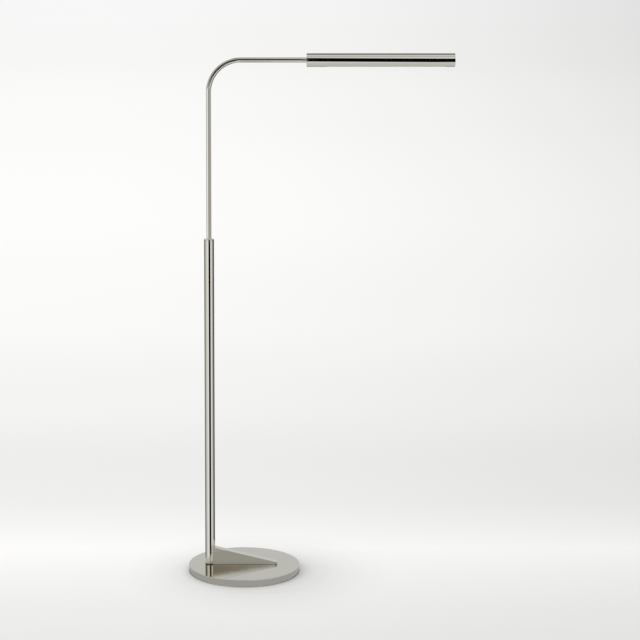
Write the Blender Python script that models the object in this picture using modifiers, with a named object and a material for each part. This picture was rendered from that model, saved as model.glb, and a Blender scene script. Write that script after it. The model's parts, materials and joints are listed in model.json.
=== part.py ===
"""Adjustable reading floor lamp: a disc base with a fin, two telescoping tubes and a cylinder shade.

Metres, +Z up. The arm reaches along +X, and the origin is the centre of the base's underside.
Four rigid groups move on each other: the base, the glide that slides in the lower tube, the bent
arm that turns in the glide, and the shade that turns about the arm's end.
"""

import math

import bmesh
import bpy

GAP = 0.0003  # left between pieces that rest on each other or are cut by each other
CUT_OVERRUN = 0.002  # how far a cutter runs past the face that it opens

# Base
DISC_RADIUS = 0.145
DISC_THICKNESS = 0.0167
DISC_EDGE = 0.0008
PAD_RADIUS = 0.138
PAD_THICKNESS = 0.0015
DISC_BOTTOM = PAD_THICKNESS + GAP
DISC_TOP = DISC_BOTTOM + DISC_THICKNESS

# Pole
POLE_X = -0.0895
LOWER_RADIUS = 0.0127
LOWER_BORE = 0.0112
LOWER_RISE = 0.859  # from the disc's top to the top of the lower tube
POLE_TOP = DISC_TOP + LOWER_RISE
CAP_FLANGE = 0.003
CAP_SPIGOT = 0.012
GUIDE_BUSH_LENGTH = 0.030
INSERT_RADIUS = LOWER_BORE - GAP
GASKET_THICKNESS = 0.0012
TUBE_FOOT = DISC_TOP + GASKET_THICKNESS + 2 * GAP

# Fin
FIN_HALF_WIDTH = 0.0105
FIN_POLE_HEIGHT = 0.0485  # above the disc, at the pole's axis
FIN_TIP_HEIGHT = 0.006
FIN_TIP_X = 0.0866
FIN_TIP_ROUND = 0.006
FIN_SCREW_X = (-0.045, 0.020)
SCREW_SHANK = 0.0022
SCREW_HEAD = 0.0043
SCREW_HEAD_HEIGHT = 0.003
SCREW_BITE = 0.010  # length of thread in the fin
SCREW_SOCKET = 0.0016  # radius over the corners of the hexagon
SCREW_SOCKET_DEPTH = 0.0018

# Fastening under the pole
NIPPLE_RADIUS = 0.005
NIPPLE_BORE = 0.0036
NIPPLE_RISE = 0.026  # above the disc's top
NIPPLE_DROP = 0.0068  # below the top of the recess
FLAT_WASHER_RADIUS = 0.013
FLAT_WASHER_THICKNESS = 0.0012
NUT_RADIUS = 0.0085  # over its corners
NUT_HEIGHT = 0.0045
PLUG_LENGTH = 0.030
RECESS_RADIUS = 0.016
RECESS_DEPTH = 0.009
RECESS_TOP = DISC_BOTTOM + RECESS_DEPTH
GROOVE_SIZE = 0.009
GROMMET_RADIUS = 0.0042
GROMMET_BORE = 0.0033
GROMMET_PROUD = 0.001
GROMMET_DEPTH = 0.009

# Arm
ARM_RADIUS = 0.00635
ARM_BORE = 0.00515
ARM_SLIP = ARM_RADIUS + GAP  # bore of a piece that the arm's tube passes through
ARM_Z = DISC_TOP + 1.3105
BEND_RADIUS = 0.080
INSERTION = 0.215
ARM_FOOT = POLE_TOP - INSERTION
LEAD_RADIUS = 0.0022
LEAD_FOOT = 0.004  # above the arm's foot
LEAD_OVERHANG = 0.006  # past the arm's end

# Rings near the arm's foot, with heights above it as (low, high)
GLIDE_NUT = (0.0010, 0.0070)
GLIDE_NUT_RADIUS = 0.0092
WAVE_WASHER = (0.0073, 0.0085)
WAVE_WASHER_RADIUS = 0.0098
WAVE_SHEET = 0.0004
WAVE_COUNT = 3
GLIDE_SLEEVE = (0.0088, 0.0388)
GLIDE_COLLAR = (0.0391, 0.0431)
GLIDE_COLLAR_RADIUS = 0.010

# Shade, with lengths along it counted from its end nearest the pole
SHADE_START = POLE_X + 0.247
SHADE_LENGTH = 0.3713
SHADE_RADIUS = 0.0171
SHADE_BORE = 0.0159
SHADE_INSERT = SHADE_BORE - GAP
ARM_END = 0.040
SLOT_START = 0.048
SLOT_LENGTH = 0.300
SLOT_HALF_WIDTH = 0.006
OUTER_CAP = (SHADE_LENGTH - 0.0065, SHADE_LENGTH - 0.0005)

# Pieces in the shade's inner end, with places along it as (start, end)
INNER_CAP = (0.0005, 0.0040)
CIRCLIP = (0.0068, 0.0080)
CIRCLIP_RADIUS = 0.0105
FRICTION_WASHER = (0.0083, 0.0095)
FRICTION_WASHER_RADIUS = 0.0105
HUB = (0.0100, 0.0260)
HUB_BORE = 0.0101
BUSH_RADIUS = HUB_BORE - GAP
SPRING_WASHER = (0.0265, 0.0287)
END_NUT = (0.0292, 0.0362)
END_NUT_RADIUS = 0.0095
HUB_SCREW_X = SHADE_START + 0.018
HUB_SCREW_RADIUS = 0.0015
HUB_SCREW_SPAN = (-0.0165, -0.0116)  # heights from the shade's axis
HUB_SCREW_SOCKET = 0.0009
HUB_SCREW_SOCKET_DEPTH = 0.0015
HUB_THREAD_RADIUS = 0.0018
HUB_THREAD_TOP = -0.0112
HUB_SCREW_HOLE = 0.0021

# Light, with heights from the shade's axis as (low, high)
CARRIER = (-0.0028, 0.0060)
CARRIER_HALF_WIDTH = 0.012
CARRIER_INSET = 0.001
BOARD = (-0.0043, -0.0031)
BOARD_HALF_WIDTH = 0.008
BOARD_INSET = 0.003
LED_COUNT = 20
LED_PITCH = 0.0125
LED_SIZE = (0.0035, 0.0028, 0.0008)
BOARD_SCREW_INSET = 0.020
BOARD_SCREW_HEAD = 0.0024
BOARD_SCREW_CROWN = 0.0020  # the head narrows to this
BOARD_SCREW_HEAD_HEIGHT = 0.0015
BOARD_SCREW_SHANK = 0.0010
BOARD_SCREW_BITE = 0.0040
DIFFUSER_TOP = -0.0120

NICKEL = (0.62, 0.61, 0.57)
STEEL = (0.42, 0.42, 0.43)
BRASS = (0.66, 0.50, 0.24)
ALUMINIUM = (0.72, 0.72, 0.73)
BLACK_RUBBER = (0.018, 0.018, 0.018)
FELT = (0.035, 0.034, 0.033)
NYLON = (0.72, 0.70, 0.64)
OPAL = (0.86, 0.85, 0.82)
BOARD_WHITE = (0.80, 0.81, 0.80)
LEAD_GREY = (0.20, 0.20, 0.20)


def clear_scene():
    """Empty the file that the script runs in."""
    for obj in list(bpy.data.objects):
        bpy.data.objects.remove(obj)


def new_collection(name):
    """A collection linked to the scene."""
    collection = bpy.data.collections.new(name)
    bpy.context.scene.collection.children.link(collection)
    return collection


clear_scene()
PARTS = new_collection("adjustable_arm_floor_lamp")
CUTTERS = new_collection("cutters")
CUTTERS.hide_render = True


def material(name, colour, roughness, metallic):
    """A Principled material, made once for each name."""
    made = bpy.data.materials.new(name)
    made.use_nodes = True
    shader = made.node_tree.nodes["Principled BSDF"]
    shader.inputs["Base Color"].default_value = (*colour, 1.0)
    shader.inputs["Roughness"].default_value = roughness
    shader.inputs["Metallic"].default_value = metallic
    return made


def smooth(mesh, angle=math.radians(30)):
    """Shade a mesh smooth with sharp edges where it turns a corner."""
    mesh.shade_smooth()
    mesh.set_sharp_from_angle(angle=angle)


def add_object(name, mesh, finish=None, collection=PARTS):
    """Put a mesh in a collection as a named object, with its own material."""
    obj = bpy.data.objects.new(name, mesh)
    collection.objects.link(obj)
    if finish:
        mesh.materials.append(material(name, *finish))
    if collection is CUTTERS:
        obj.hide_render = True
        obj.display_type = "WIRE"
    return obj


def turned(name, profile, finish, location, along_x=False, steps=32):
    """A turned piece. Its (radius, height) profile runs down the outside; a ring's comes back up inside."""
    mesh = bpy.data.meshes.new(name)
    count = len(profile)
    on_axis = profile[0][0] == 0
    edges = [(i, i + 1) for i in range(count - 1)]
    if not on_axis:
        edges.append((count - 1, 0))
    mesh.from_pydata([(radius, 0, height) for radius, height in profile], edges, [])
    obj = add_object(name, mesh, finish)
    screw = obj.modifiers.new("turn", "SCREW")
    screw.axis = "Z"
    screw.angle = 2 * math.pi
    screw.steps = screw.render_steps = steps
    screw.use_merge_vertices = True
    screw.merge_threshold = 0.00001
    screw.use_smooth_shade = True
    obj.location = location
    if along_x:
        obj.rotation_euler.y = math.pi / 2
    return obj


def ring(outer, bore, low, high):
    """Profile of a plain ring between two heights."""
    return [(outer, high), (outer, low), (bore, low), (bore, high)]


def on_pole(name, profile, finish, steps=32):
    """A turned piece on the pole's axis, with its heights from the floor."""
    return turned(name, profile, finish, (POLE_X, 0, 0), steps=steps)


def in_shade(name, profile, finish, steps=32):
    """A turned piece on the shade's axis, with its heights counted along the shade."""
    return turned(name, profile, finish, (SHADE_START, 0, ARM_Z), along_x=True, steps=steps)


def round_cutter(name, radius, start, end, steps=32):
    """A cylinder between two points on one line along X, Y or Z, to cut with."""
    bm = bmesh.new()
    length = math.dist(start, end)
    bmesh.ops.create_cone(bm, cap_ends=True, segments=steps, radius1=radius, radius2=radius, depth=length)
    mesh = bpy.data.meshes.new(name)
    bm.to_mesh(mesh)
    bm.free()
    obj = add_object(name, mesh, collection=CUTTERS)
    obj.location = [(a + b) / 2 for a, b in zip(start, end)]
    if start[0] != end[0]:
        obj.rotation_euler.y = math.pi / 2
    if start[1] != end[1]:
        obj.rotation_euler.x = math.pi / 2
    return obj


def block(name, low, high, finish=None, collection=PARTS):
    """A box between two corners."""
    bm = bmesh.new()
    bmesh.ops.create_cube(bm, size=1.0)
    bmesh.ops.scale(bm, vec=[b - a for a, b in zip(low, high)], verts=bm.verts)
    mesh = bpy.data.meshes.new(name)
    bm.to_mesh(mesh)
    bm.free()
    obj = add_object(name, mesh, finish, collection)
    obj.location = [(a + b) / 2 for a, b in zip(low, high)]
    return obj


def use_cutter(obj, cutter, operation="DIFFERENCE"):
    """Add a Boolean with the exact solver."""
    boolean = obj.modifiers.new(cutter.name, "BOOLEAN")
    boolean.operation = operation
    boolean.solver = "EXACT"
    boolean.object = cutter


def curve_to_mesh(curve_obj, name, finish=None, collection=PARTS):
    """Replace a curve object with its evaluated mesh, caps welded, so that a Boolean can use it."""
    bpy.context.view_layer.update()
    graph = bpy.context.evaluated_depsgraph_get()
    mesh = bpy.data.meshes.new_from_object(curve_obj.evaluated_get(graph))
    mesh.name = name
    bm = bmesh.new()
    bm.from_mesh(mesh)
    bmesh.ops.remove_doubles(bm, verts=bm.verts, dist=0.000001)
    bmesh.ops.recalc_face_normals(bm, faces=bm.faces)
    bm.to_mesh(mesh)
    bm.free()
    matrix = curve_obj.matrix_world.copy()
    bpy.data.objects.remove(curve_obj)
    obj = add_object(name, mesh, finish, collection)
    obj.matrix_world = matrix
    return obj


def plate_curve(name, outline, half_thickness):
    """A flat outline filled and extruded both ways along its own Z."""
    data = bpy.data.curves.new(name, "CURVE")
    data.dimensions = "2D"
    data.fill_mode = "BOTH"
    data.extrude = half_thickness
    spline = data.splines.new("POLY")
    spline.points.add(len(outline) - 1)
    for point, (x, y) in zip(spline.points, outline):
        point.co = (x, y, 0, 1)
    spline.use_cyclic_u = True
    obj = bpy.data.objects.new(name, data)
    PARTS.objects.link(obj)
    return obj


def rod_curve(name, path, radius, resolution):
    """A round rod along a path, with filled caps."""
    data = bpy.data.curves.new(name, "CURVE")
    data.dimensions = "3D"
    data.bevel_depth = radius
    data.bevel_resolution = resolution
    data.use_fill_caps = True
    spline = data.splines.new("POLY")
    spline.points.add(len(path) - 1)
    for point, place in zip(spline.points, path):
        point.co = (*place, 1)
    obj = bpy.data.objects.new(name, data)
    PARTS.objects.link(obj)
    return obj


def wavy_ring(name, outer, bore, low, high, finish):
    """A thin ring of sheet that waves up and down between two heights, on the pole's axis."""
    steps = 48
    swing = (high - low - WAVE_SHEET) / 2
    points = []
    for i in range(steps):
        angle = 2 * math.pi * i / steps
        middle = (low + high) / 2 + swing * math.cos(WAVE_COUNT * angle)
        for radius, rise in ((outer, 1), (outer, -1), (bore, -1), (bore, 1)):
            height = middle + rise * WAVE_SHEET / 2
            points.append((radius * math.cos(angle), radius * math.sin(angle), height))
    faces = []
    for i in range(steps):
        here = 4 * i
        there = 4 * ((i + 1) % steps)
        for side in range(4):
            other = (side + 1) % 4
            faces.append((here + side, here + other, there + other, there + side))
    mesh = bpy.data.meshes.new(name)
    mesh.from_pydata(points, [], faces)
    bm = bmesh.new()
    bm.from_mesh(mesh)
    bmesh.ops.recalc_face_normals(bm, faces=bm.faces)
    bm.to_mesh(mesh)
    bm.free()
    obj = add_object(name, mesh, finish)
    obj.location.x = POLE_X
    return obj


def arc(centre, radius, start, end, steps):
    """Points on an arc in a plane, angles in degrees."""
    points = []
    for i in range(steps + 1):
        angle = math.radians(start + (end - start) * i / steps)
        points.append((centre[0] + radius * math.cos(angle), centre[1] + radius * math.sin(angle)))
    return points


NICKEL_FINISH = (NICKEL, 0.06, 1.0)
STEEL_FINISH = (STEEL, 0.35, 1.0)
BRASS_FINISH = (BRASS, 0.30, 1.0)
ALUMINIUM_FINISH = (ALUMINIUM, 0.40, 1.0)
RUBBER_FINISH = (BLACK_RUBBER, 0.60, 0.0)
FELT_FINISH = (FELT, 0.95, 0.0)
NYLON_FINISH = (NYLON, 0.45, 0.0)
OPAL_FINISH = (OPAL, 0.35, 0.0)
BOARD_FINISH = (BOARD_WHITE, 0.40, 0.0)
LEAD_FINISH = (LEAD_GREY, 0.50, 0.0)


def make_base_pad():
    """Felt pad that the lamp stands on."""
    profile = [(0, PAD_THICKNESS), (PAD_RADIUS, PAD_THICKNESS), (PAD_RADIUS, 0), (0, 0)]
    return turned("base_pad", profile, FELT_FINISH, (0, 0, 0), steps=72)


def make_base_disc():
    """Heavy disc, with a recess for the pole's nut, a groove for the cord and holes for the fin's screws."""
    edge = DISC_RADIUS - DISC_EDGE
    profile = [
        (0, DISC_TOP),
        (edge, DISC_TOP),
        (DISC_RADIUS, DISC_TOP - DISC_EDGE),
        (DISC_RADIUS, DISC_BOTTOM + DISC_EDGE),
        (edge, DISC_BOTTOM),
        (0, DISC_BOTTOM),
    ]
    disc = turned("base_disc", profile, NICKEL_FINISH, (0, 0, 0), steps=96)
    below = DISC_BOTTOM - CUT_OVERRUN
    above = DISC_TOP + CUT_OVERRUN
    recess = round_cutter("recess", RECESS_RADIUS, (POLE_X, 0, below), (POLE_X, 0, RECESS_TOP))
    use_cutter(disc, recess)
    bore_radius = NIPPLE_RADIUS + 2 * GAP
    use_cutter(disc, round_cutter("nipple_bore", bore_radius, (POLE_X, 0, below), (POLE_X, 0, above)))
    half = GROOVE_SIZE / 2
    groove = block(
        "cord_groove",
        (POLE_X - half, 0, below),
        (POLE_X + half, DISC_RADIUS, DISC_BOTTOM + GROOVE_SIZE),
        collection=CUTTERS,
    )
    use_cutter(disc, groove)
    for index, x in enumerate(FIN_SCREW_X, 1):
        hole = round_cutter(f"screw_bore_{index}", SCREW_SHANK + GAP, (x, 0, below), (x, 0, above), 16)
        use_cutter(disc, hole)
        seat_top = DISC_BOTTOM + SCREW_HEAD_HEIGHT + 2 * GAP
        seat = round_cutter(f"screw_seat_{index}", SCREW_HEAD + GAP, (x, 0, below), (x, 0, seat_top), 24)
        use_cutter(disc, seat)
    return disc


def make_base_fin():
    """Wedge along the disc's diameter that braces the pole, with a rounded tip."""
    foot = DISC_TOP + GAP
    side = [
        (POLE_X, foot),
        (FIN_TIP_X, foot),
        (FIN_TIP_X, DISC_TOP + FIN_TIP_HEIGHT),
        (POLE_X, DISC_TOP + FIN_POLE_HEIGHT),
    ]
    curve = plate_curve("base_fin", side, FIN_HALF_WIDTH + CUT_OVERRUN)
    curve.rotation_euler.x = math.pi / 2
    fin = curve_to_mesh(curve, "base_fin", NICKEL_FINISH)
    inset = FIN_HALF_WIDTH - FIN_TIP_ROUND
    corner_x = FIN_TIP_X - FIN_TIP_ROUND
    plan = [(POLE_X - CUT_OVERRUN, -FIN_HALF_WIDTH)]
    plan += arc((corner_x, -inset), FIN_TIP_ROUND, -90, 0, 6)
    plan += arc((corner_x, inset), FIN_TIP_ROUND, 0, 90, 6)
    plan.append((POLE_X - CUT_OVERRUN, FIN_HALF_WIDTH))
    curve = plate_curve("fin_plan", plan, FIN_POLE_HEIGHT)
    curve.location.z = DISC_TOP
    outline = curve_to_mesh(curve, "fin_plan", collection=CUTTERS)
    use_cutter(fin, outline, "INTERSECT")
    top = DISC_TOP + FIN_POLE_HEIGHT + CUT_OVERRUN
    saddle = round_cutter("saddle", LOWER_RADIUS + GAP, (POLE_X, 0, 0), (POLE_X, 0, top), 48)
    use_cutter(fin, saddle)
    for index, x in enumerate(FIN_SCREW_X, 1):
        deep = DISC_TOP + SCREW_BITE + 4 * GAP
        hole = round_cutter(f"fin_hole_{index}", SCREW_SHANK + GAP, (x, 0, 0), (x, 0, deep), 16)
        use_cutter(fin, hole)
    return fin


def make_fin_screw(index, x):
    """Cap screw up through the disc into the fin."""
    head_low = DISC_BOTTOM + GAP
    head_high = head_low + SCREW_HEAD_HEIGHT
    tip = DISC_TOP + SCREW_BITE
    profile = [
        (0, tip),
        (SCREW_SHANK, tip),
        (SCREW_SHANK, head_high),
        (SCREW_HEAD, head_high),
        (SCREW_HEAD, head_low),
        (0, head_low),
    ]
    screw = turned(f"fin_screw_{index}", profile, STEEL_FINISH, (x, 0, 0), steps=16)
    ends = (x, 0, head_low - CUT_OVERRUN), (x, 0, head_low + SCREW_SOCKET_DEPTH)
    use_cutter(screw, round_cutter(f"screw_socket_{index}", SCREW_SOCKET, *ends, 6))
    return screw


def make_pole_fastening():
    """Threaded nipple with its washer and nut in the recess, and the plug that it screws into."""
    nipple_low = RECESS_TOP - NIPPLE_DROP
    nipple_high = DISC_TOP + NIPPLE_RISE
    washer_high = RECESS_TOP - GAP
    washer_low = washer_high - FLAT_WASHER_THICKNESS
    nut_high = washer_low - GAP
    nut_low = nut_high - NUT_HEIGHT
    bore = NIPPLE_RADIUS + GAP
    plug_high = TUBE_FOOT + PLUG_LENGTH
    nipple = ring(NIPPLE_RADIUS, NIPPLE_BORE, nipple_low, nipple_high)
    hexagon = [(0, nut_high), (NUT_RADIUS, nut_high), (NUT_RADIUS, nut_low), (0, nut_low)]
    nut = on_pole("nipple_nut", hexagon, BRASS_FINISH, 6)
    ends = (POLE_X, 0, nut_low - CUT_OVERRUN), (POLE_X, 0, nut_high + CUT_OVERRUN)
    use_cutter(nut, round_cutter("nut_bore", bore, *ends, 24))
    return [
        nut,
        on_pole("threaded_nipple", nipple, STEEL_FINISH, 24),
        on_pole("nipple_washer", ring(FLAT_WASHER_RADIUS, bore, washer_low, washer_high), STEEL_FINISH, 24),
        on_pole("foot_plug", ring(INSERT_RADIUS, bore, TUBE_FOOT, plug_high), BRASS_FINISH),
    ]


def make_pole():
    """Lower tube on its gasket, with the guide bush and the cap at its top."""
    gasket_low = DISC_TOP + GAP
    tube_high = POLE_TOP - CAP_FLANGE - GAP
    spigot_low = POLE_TOP - CAP_FLANGE - CAP_SPIGOT
    cap_bore = ARM_SLIP + GAP
    cap = [
        (LOWER_RADIUS, POLE_TOP - DISC_EDGE),
        (LOWER_RADIUS, POLE_TOP - CAP_FLANGE),
        (INSERT_RADIUS, POLE_TOP - CAP_FLANGE),
        (INSERT_RADIUS, spigot_low),
        (cap_bore, spigot_low),
        (cap_bore, POLE_TOP),
        (LOWER_RADIUS - DISC_EDGE, POLE_TOP),
    ]
    bush_high = spigot_low - GAP
    bush_low = bush_high - GUIDE_BUSH_LENGTH
    gasket = ring(LOWER_RADIUS, NIPPLE_RADIUS + 2 * GAP, gasket_low, gasket_low + GASKET_THICKNESS)
    return [
        on_pole("foot_gasket", gasket, RUBBER_FINISH, 48),
        on_pole("lower_tube", ring(LOWER_RADIUS, LOWER_BORE, TUBE_FOOT, tube_high), NICKEL_FINISH, 48),
        on_pole("guide_bush", ring(INSERT_RADIUS, ARM_SLIP, bush_low, bush_high), NYLON_FINISH),
        on_pole("tube_cap", cap, NICKEL_FINISH, 48),
    ]


def make_cord_grommet():
    """Rubber bush for the supply cord, in the groove's mouth at the back of the rim."""
    rim_y = math.sqrt(DISC_RADIUS**2 - POLE_X**2)
    axis_z = DISC_BOTTOM + GROOVE_SIZE / 2
    sleeve = ring(GROMMET_RADIUS, GROMMET_BORE, -GROMMET_PROUD, GROMMET_DEPTH)
    grommet = turned("cord_grommet", sleeve, RUBBER_FINISH, (POLE_X, rim_y, axis_z), steps=24)
    grommet.rotation_euler.x = math.pi / 2
    return grommet


def above_arm_foot(span):
    """Heights from the floor of a (low, high) span above the arm's foot."""
    return ARM_FOOT + span[0], ARM_FOOT + span[1]


def make_slider():
    """Nylon glide that slides in the lower tube, and the wave washer that loads it."""
    low, high = above_arm_foot(WAVE_WASHER)
    return [
        wavy_ring("wave_washer", WAVE_WASHER_RADIUS, ARM_SLIP, low, high, STEEL_FINISH),
        on_pole("glide_sleeve", ring(INSERT_RADIUS, ARM_SLIP, *above_arm_foot(GLIDE_SLEEVE)), NYLON_FINISH),
    ]


def arm_path(foot, reach, bend_steps):
    """Centreline of the arm: up the pole's axis, round the bend and out along the shade's axis."""
    bend = arc((POLE_X + BEND_RADIUS, ARM_Z - BEND_RADIUS), BEND_RADIUS, 180, 90, bend_steps)
    return [(POLE_X, 0, foot)] + [(x, 0, z) for x, z in bend] + [(reach, 0, ARM_Z)]


def make_arm_tube():
    """One bent tube, open at both ends."""
    reach = SHADE_START + ARM_END
    outer = rod_curve("arm_tube", arm_path(ARM_FOOT, reach, 16), ARM_RADIUS, 10)
    tube = curve_to_mesh(outer, "arm_tube", NICKEL_FINISH)
    bore_path = arm_path(ARM_FOOT - CUT_OVERRUN, reach + CUT_OVERRUN, 16)
    bore = curve_to_mesh(rod_curve("arm_bore", bore_path, ARM_BORE, 6), "arm_bore", collection=CUTTERS)
    use_cutter(tube, bore)
    return tube


def make_arm_lead():
    """Two-core lead through the arm, from its foot to the light board."""
    path = arm_path(ARM_FOOT + LEAD_FOOT, SHADE_START + ARM_END + LEAD_OVERHANG, 12)
    lead = rod_curve("arm_lead", path, LEAD_RADIUS, 2)
    lead.data.materials.append(material("arm_lead", *LEAD_FINISH))
    return lead


def make_arm_fittings():
    """Rings fixed on the arm's tube: two hold the glide, two hold the shade's hub."""
    nut = ring(GLIDE_NUT_RADIUS, ARM_SLIP, *above_arm_foot(GLIDE_NUT))
    collar = ring(GLIDE_COLLAR_RADIUS, ARM_SLIP, *above_arm_foot(GLIDE_COLLAR))
    return [
        on_pole("glide_nut", nut, BRASS_FINISH, 24),
        on_pole("glide_collar", collar, STEEL_FINISH, 24),
        in_shade("arm_circlip", ring(CIRCLIP_RADIUS, ARM_SLIP, *CIRCLIP), STEEL_FINISH, 24),
        in_shade("arm_end_nut", ring(END_NUT_RADIUS, ARM_SLIP, *END_NUT), BRASS_FINISH, 24),
    ]


def make_shade_tube():
    """Thin cylinder with a slot underneath for the light."""
    tube = in_shade("shade_tube", ring(SHADE_RADIUS, SHADE_BORE, 0, SHADE_LENGTH), NICKEL_FINISH, 48)
    start = SHADE_START + SLOT_START
    slot = block(
        "light_slot",
        (start, -SLOT_HALF_WIDTH, ARM_Z - SHADE_RADIUS - CUT_OVERRUN),
        (start + SLOT_LENGTH, SLOT_HALF_WIDTH, ARM_Z - SHADE_BORE / 2),
        collection=CUTTERS,
    )
    use_cutter(tube, slot)
    low = (HUB_SCREW_X, 0, ARM_Z - SHADE_RADIUS - CUT_OVERRUN)
    high = (HUB_SCREW_X, 0, ARM_Z - SHADE_BORE / 2)
    use_cutter(tube, round_cutter("hub_screw_hole", HUB_SCREW_HOLE, low, high, 16))
    return tube


def make_shade_swivel():
    """End cover, hub and bush that let the shade turn on the arm, with the washers that give it friction."""
    hub = in_shade("swivel_hub", ring(SHADE_INSERT, HUB_BORE, *HUB), ALUMINIUM_FINISH)
    bottom = (HUB_SCREW_X, 0, ARM_Z - SHADE_RADIUS)
    top = (HUB_SCREW_X, 0, ARM_Z + HUB_THREAD_TOP)
    use_cutter(hub, round_cutter("hub_thread", HUB_THREAD_RADIUS, bottom, top, 16))
    friction = ring(FRICTION_WASHER_RADIUS, ARM_SLIP, *FRICTION_WASHER)
    return [
        in_shade("inner_cap", ring(SHADE_INSERT, ARM_SLIP + GAP, *INNER_CAP), NICKEL_FINISH),
        hub,
        in_shade("swivel_bush", ring(BUSH_RADIUS, ARM_SLIP, *HUB), NYLON_FINISH),
        in_shade("friction_washer", friction, RUBBER_FINISH, 24),
        in_shade("spring_washer", ring(BUSH_RADIUS, ARM_SLIP, *SPRING_WASHER), STEEL_FINISH, 24),
    ]


def make_hub_screw():
    """Set screw that fixes the hub in the shade's tube, underneath, with its hexagon socket."""
    low, high = HUB_SCREW_SPAN
    profile = [(0, high), (HUB_SCREW_RADIUS, high), (HUB_SCREW_RADIUS, low), (0, low)]
    screw = turned("hub_screw", profile, STEEL_FINISH, (HUB_SCREW_X, 0, ARM_Z), steps=16)
    bottom = (HUB_SCREW_X, 0, ARM_Z + low - CUT_OVERRUN)
    top = (HUB_SCREW_X, 0, ARM_Z + low + HUB_SCREW_SOCKET_DEPTH)
    use_cutter(screw, round_cutter("hub_screw_socket", HUB_SCREW_SOCKET, bottom, top, 6))
    return screw


def make_outer_cap():
    """Plain end cap, flush with the shade's free end."""
    low, high = OUTER_CAP
    profile = [(0, high), (SHADE_INSERT, high), (SHADE_INSERT, low), (0, low)]
    return in_shade("outer_cap", profile, NICKEL_FINISH)


def light_bar(name, half_width, span, inset, finish):
    """A bar along the slot, with its (low, high) span of heights from the shade's axis."""
    start = SHADE_START + SLOT_START + inset
    end = SHADE_START + SLOT_START + SLOT_LENGTH - inset
    low, high = span
    return block(name, (start, -half_width, ARM_Z + low), (end, half_width, ARM_Z + high), finish)


def make_diffuser():
    """Opal strip that fills the slot, curved to the shade's outside."""
    half = math.degrees(math.asin((SLOT_HALF_WIDTH - GAP) / SHADE_RADIUS))
    outline = arc((0, 0), SHADE_RADIUS, -90 - half, -90 + half, 8)
    outline += [(SLOT_HALF_WIDTH - GAP, DIFFUSER_TOP), (GAP - SLOT_HALF_WIDTH, DIFFUSER_TOP)]
    curve = plate_curve("diffuser", outline, SLOT_LENGTH / 2 - GAP)
    curve.rotation_euler = (math.pi / 2, 0, math.pi / 2)
    curve.location = (SHADE_START + SLOT_START + SLOT_LENGTH / 2, 0, ARM_Z)
    return curve_to_mesh(curve, "diffuser", OPAL_FINISH)


def board_screw_x():
    """Where the board's two screws stand."""
    start = SHADE_START + SLOT_START
    return start + BOARD_SCREW_INSET, start + SLOT_LENGTH - BOARD_SCREW_INSET


def drill_for_board_screws(piece, low, high):
    """Holes for the two screws, between heights from the shade's axis."""
    for index, x in enumerate(board_screw_x(), 1):
        ends = (x, 0, ARM_Z + low), (x, 0, ARM_Z + high)
        use_cutter(piece, round_cutter(f"{piece.name}_hole_{index}", BOARD_SCREW_SHANK + GAP, *ends, 16))


def make_carrier():
    """Heat-sink bar, drilled from below for the board's screws."""
    carrier = light_bar("led_carrier", CARRIER_HALF_WIDTH, CARRIER, CARRIER_INSET, ALUMINIUM_FINISH)
    low = CARRIER[0]
    drill_for_board_screws(carrier, low - CUT_OVERRUN, low + BOARD_SCREW_BITE + GAP)
    return carrier


def make_led_board():
    """Light board with its row of light packages underneath."""
    board = light_bar("led_board", BOARD_HALF_WIDTH, BOARD, BOARD_INSET, BOARD_FINISH)
    low, high = BOARD
    drill_for_board_screws(board, low - CUT_OVERRUN, high + CUT_OVERRUN)
    length, width, height = LED_SIZE
    first = SHADE_START + SLOT_START + (SLOT_LENGTH - (LED_COUNT - 1) * LED_PITCH) / 2
    bm = bmesh.new()
    for index in range(LED_COUNT):
        added = bmesh.ops.create_cube(bm, size=1.0)["verts"]
        bmesh.ops.scale(bm, vec=(length, width, height + (high - low) / 2), verts=added)
        bmesh.ops.translate(bm, vec=(first + index * LED_PITCH, 0, 0), verts=added)
    mesh = bpy.data.meshes.new("led_packages")
    bm.to_mesh(mesh)
    bm.free()
    packages = add_object("led_packages", mesh, collection=CUTTERS)
    packages.location.z = ARM_Z + low - height / 2 + (high - low) / 4
    use_cutter(board, packages, "UNION")
    return board


def make_board_screw(index, x):
    """Pan-head screw that holds the light board to its carrier."""
    head_high = BOARD[0] - GAP
    head_low = head_high - BOARD_SCREW_HEAD_HEIGHT
    tip = CARRIER[0] + BOARD_SCREW_BITE
    profile = [
        (0, tip),
        (BOARD_SCREW_SHANK, tip),
        (BOARD_SCREW_SHANK, head_high),
        (BOARD_SCREW_HEAD, head_high),
        (BOARD_SCREW_CROWN, head_low),
        (0, head_low),
    ]
    return turned(f"board_screw_{index}", profile, STEEL_FINISH, (x, 0, ARM_Z), steps=16)


def make_light():
    """Heat-sink bar, light board with its screws, and diffuser."""
    screws = [make_board_screw(index, x) for index, x in enumerate(board_screw_x(), 1)]
    return [make_carrier(), make_led_board(), make_diffuser()] + screws


def axis_empty(name, location):
    """An empty on a joint's axis, for the pieces that move with it."""
    empty = bpy.data.objects.new(name, None)
    PARTS.objects.link(empty)
    empty.location = location
    return empty


def hang_on(empty, pieces):
    """Parent pieces to an empty without moving them."""
    bpy.context.view_layer.update()
    for piece in pieces:
        piece.parent = empty
        piece.matrix_parent_inverse = empty.matrix_world.inverted()


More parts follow.
